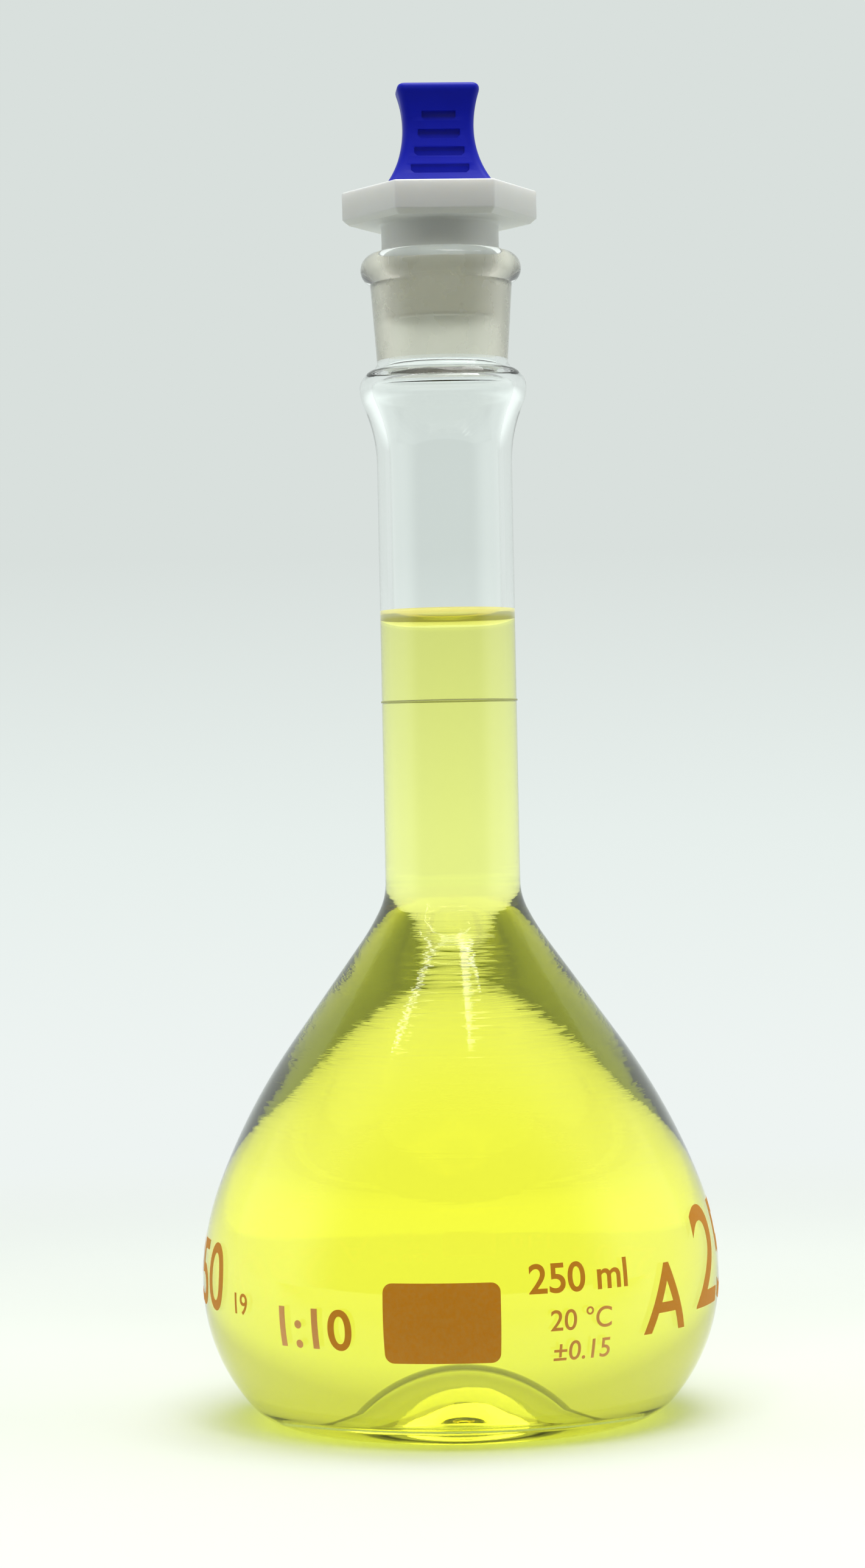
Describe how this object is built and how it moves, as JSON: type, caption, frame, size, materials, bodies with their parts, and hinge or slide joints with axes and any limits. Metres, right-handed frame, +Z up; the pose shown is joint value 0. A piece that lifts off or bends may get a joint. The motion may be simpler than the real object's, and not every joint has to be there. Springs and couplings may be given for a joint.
{
  "type": "volumetric flask",
  "caption": "Pear-shaped glass volumetric flask with a long neck, mixing bulge and ground taper mouth, holding a yellow solution under a hexagonal plastic stopper with a blue finger grip.",
  "frame": {"origin": "centre of the foot ring, on the surface that the flask stands on", "axes": "+Z up along the flask's axis; -Y is the side with the writing patch"},
  "size_m": [0.082, 0.0822, 0.2118],
  "materials": {
    "borosilicate_glass": "clear fire-polished glass, ground matt inside the mouth",
    "fired_enamel": "fired brown enamel, satin",
    "yellow_solution": "clear yellow water solution",
    "white_polyethylene": "moulded, satin, slightly translucent",
    "blue_polypropylene": "moulded, satin"
  },
  "bodies": {
    "flask": {"flask_body": "borosilicate_glass", "graduation_ring": "fired_enamel", "marking_patch": "fired_enamel", "solution": "yellow_solution"},
    "stopper": {"stopper_plug": "white_polyethylene", "stopper_grip": "blue_polypropylene"}
  },
  "joints": [
    {"name": "stopper_lift", "type": "slide", "parent": "flask", "child": "stopper", "axis": [0, 0, 1], "range_m": [0, 0.05]}
  ]
}
